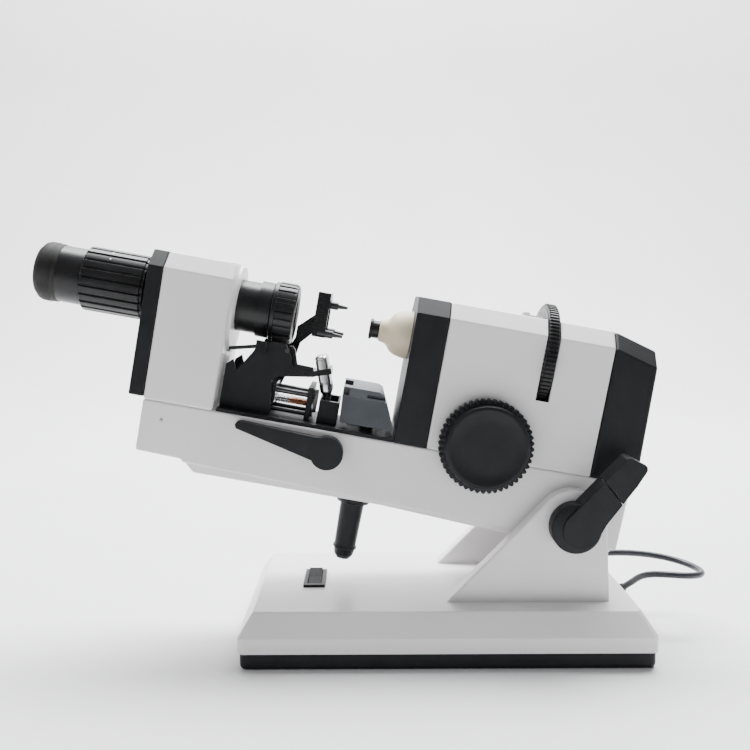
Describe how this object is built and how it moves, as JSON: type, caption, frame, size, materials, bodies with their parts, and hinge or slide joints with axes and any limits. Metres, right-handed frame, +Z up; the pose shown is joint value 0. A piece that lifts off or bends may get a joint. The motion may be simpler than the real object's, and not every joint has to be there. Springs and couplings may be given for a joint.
{
  "type": "lensmeter",
  "caption": "Manual lensmeter: a tilting optical head with eyepiece, lens holder, marking pens, spectacle table, power knob and axis wheel, held between two uprights on a flat base",
  "frame": {"origin": "centre of the flat underside of the base", "axes": "+X from the eyepiece towards the lamp, +Y from the knob side to the far side, +Z up"},
  "size_m": [0.4844, 0.1512, 0.2823],
  "materials": {
    "white_paint": "satin powder coat",
    "black_moulding": "fine moulded texture",
    "black_anodised": "black anodised",
    "black_enamel": "black enamel",
    "switch_gloss": "gloss",
    "soft_rubber": "matte",
    "cord_sheath": "smooth PVC sheath",
    "cream_plastic": "smooth moulded",
    "grey_plastic": "fine moulded texture",
    "bright_steel": "ground",
    "gear_steel": "machined",
    "bush_brass": "machined",
    "felt": "felt",
    "pin_plastic": "satin",
    "pointer_white": "satin",
    "optical_glass": "polished",
    "circuit_parts": "board and parts"
  },
  "bodies": {
    "base": {"base_cover": "white_paint", "base_tray": "black_moulding", "base_pads": "soft_rubber", "power_supply": "circuit_parts", "upright_screws": "bright_steel", "switch_bezel": "black_moulding", "mains_inlet": "black_moulding", "base_cord_gland": "soft_rubber", "link_cord": "cord_sheath", "upright_near": "white_paint", "upright_far": "white_paint", "pivot_shaft": "bright_steel", "pivot_cap": "black_moulding"},
    "clamp": {"clamp_lever": "black_moulding"},
    "rocker": {"switch_rocker": "switch_gloss"},
    "focus": {"focus_ring": "black_anodised"},
    "eyepiece": {"eyepiece_barrel": "black_anodised", "eyecup": "soft_rubber", "eye_lens": "optical_glass"},
    "prism": {"prism_ring": "black_anodised", "objective_lens": "optical_glass"},
    "holder": {"lens_holder": "black_enamel", "holder_pins": "pin_plastic"},
    "marker": {"marker_arm": "black_enamel", "pen_barrels": "bright_steel", "pen_tips": "felt"},
    "release": {"release_lever": "black_enamel"},
    "lever": {"table_lever": "black_moulding", "lift_gear": "gear_steel"},
    "table": {"spectacle_table": "grey_plastic", "table_column": "bright_steel"},
    "power": {"power_knob": "black_moulding", "power_pinion": "gear_steel"},
    "carriage": {"target_carriage": "black_enamel"},
    "target": {"target_tube": "black_anodised"},
    "wheel": {"axis_wheel": "black_anodised"},
    "head": {"axis_pointer": "pointer_white", "beam_pan": "white_paint", "beam_shell": "white_paint", "bearing_bushes": "bush_brass", "collimator_lens": "optical_glass", "collimator_tube": "black_anodised", "column_guard": "black_moulding", "front_housing": "white_paint", "front_plate": "black_moulding", "guide_rods": "bright_steel", "head_cord_gland": "soft_rubber", "holder_springs": "bright_steel", "ink_pad": "felt", "lamp_bulb": "optical_glass", "lamp_cover": "black_moulding", "lamp_socket": "black_moulding", "lens_stop": "black_anodised", "mechanism_frame": "black_moulding", "mechanism_tray": "black_moulding", "nose_cone": "cream_plastic", "optics_supports": "black_moulding", "rear_front_plate": "black_moulding", "rear_housing": "white_paint", "telescope_tube": "black_anodised"}
  },
  "joints": [
    {"name": "head_tilt", "type": "hinge", "parent": "base", "child": "head", "pos_m": [0.086, 0, 0.09], "axis": [0, 1, 0], "range_deg": [-5, 50], "deforming": ["link_cord"]},
    {"name": "clamp_turn", "type": "hinge", "parent": "base", "child": "clamp", "pos_m": [0.086, -0.055, 0.09], "axis": [0, 1, 0], "range_deg": [-45, 30]},
    {"name": "switch_rock", "type": "hinge", "parent": "base", "child": "rocker", "pos_m": [-0.0913, 0, 0.034], "axis": [1, 0, 0], "range_deg": [-16, 0]},
    {"name": "focus_turn", "type": "hinge", "parent": "head", "child": "focus", "pos_m": [-0.23116, 0, 0.25312], "axis": [0.9843, 0, -0.1767], "range_deg": [-180, 180]},
    {"name": "eyepiece_slide", "type": "slide", "parent": "head", "child": "eyepiece", "axis": [0.9843, 0, -0.1767], "range_m": [-0.003, 0.003]},
    {"name": "prism_turn", "type": "hinge", "parent": "head", "child": "prism", "pos_m": [-0.11207, 0, 0.23174], "axis": [0.9843, 0, -0.1767], "continuous": true},
    {"name": "holder_slide", "type": "slide", "parent": "head", "child": "holder", "axis": [0.9843, 0, -0.1767], "range_m": [0, 0.017], "deforming": ["holder_springs"]},
    {"name": "marker_swing", "type": "hinge", "parent": "head", "child": "marker", "pos_m": [-0.10852, -0.0132, 0.20621], "axis": [0, -1, 0], "range_deg": [0, 70]},
    {"name": "release_turn", "type": "hinge", "parent": "head", "child": "release", "pos_m": [-0.12526, -0.023, 0.20921], "axis": [0, 1, 0], "range_deg": [-15, 7.5]},
    {"name": "table_lift", "type": "slide", "parent": "head", "child": "table", "axis": [0.1767, 0, 0.9843], "range_m": [-0.0039, 0.015]},
    {"name": "lever_turn", "type": "hinge", "parent": "head", "child": "lever", "pos_m": [-0.0808, -0.04, 0.13824], "axis": [0, -1, 0], "range_deg": [-19, 72]},
    {"name": "power_turn", "type": "hinge", "parent": "head", "child": "power", "pos_m": [0.02739, -0.044, 0.14269], "axis": [0, 1, 0], "range_deg": [-95, 95]},
    {"name": "carriage_slide", "type": "slide", "parent": "head", "child": "carriage", "axis": [0.9843, 0, -0.1767], "range_m": [-0.012, 0.012]},
    {"name": "axis_turn", "type": "hinge", "parent": "head", "child": "wheel", "pos_m": [0.071, 0, 0.19886], "axis": [0.9843, 0, -0.1767], "continuous": true},
    {"name": "target_turn", "type": "hinge", "parent": "carriage", "child": "target", "pos_m": [0.04541, 0, 0.20346], "axis": [0.9843, 0, -0.1767], "continuous": true}
  ],
  "couplings": [
    {"joint": "eyepiece_slide", "follows": "focus_turn", "m_per_rad": 0.00095},
    {"joint": "lever_turn", "follows": "table_lift", "rad_per_m": 83.333},
    {"joint": "carriage_slide", "follows": "power_turn", "m_per_rad": 0.0072},
    {"joint": "target_turn", "follows": "axis_turn", "ratio": 1}
  ]
}
